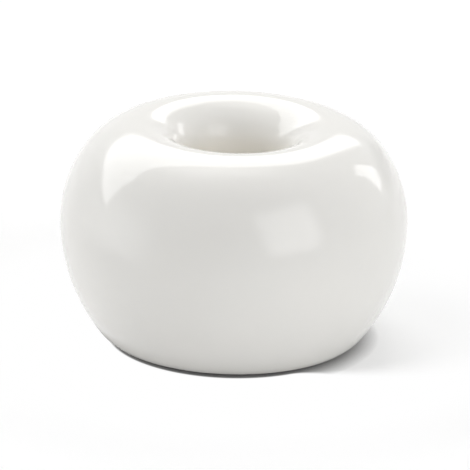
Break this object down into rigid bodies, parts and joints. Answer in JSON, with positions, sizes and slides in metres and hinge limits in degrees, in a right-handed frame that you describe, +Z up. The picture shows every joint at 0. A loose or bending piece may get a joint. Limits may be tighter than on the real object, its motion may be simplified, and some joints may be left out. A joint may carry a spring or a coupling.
{
  "type": "toothbrush holder",
  "caption": "Squat, rounded glazed ceramic block with a blind round well in its crown that holds a toothbrush upright on a counter, on a soft non-slip base pad.",
  "frame": {"origin": "on the axis of the well, at the level of the counter that the soft pad stands on", "axes": "+Z up along the axis of the well, out of its mouth; X and Y level, and all round the same, since every piece is a body of revolution"},
  "size_m": [0.05, 0.05, 0.032],
  "materials": {
    "bare_porcelain": "unglazed fired clay, matte, fine dry grain",
    "white_glaze": "glossy warm white glaze, slightly thinner over the rim",
    "adhesive": "translucent acrylic adhesive film",
    "soft_pad": "soft matte silicone, moulded ring grooves underneath"
  },
  "bodies": {
    "root": {"porcelain_body": "bare_porcelain", "glaze_coat": "white_glaze", "adhesive_film": "adhesive", "grip_pad": "soft_pad"}
  },
  "joints": []
}
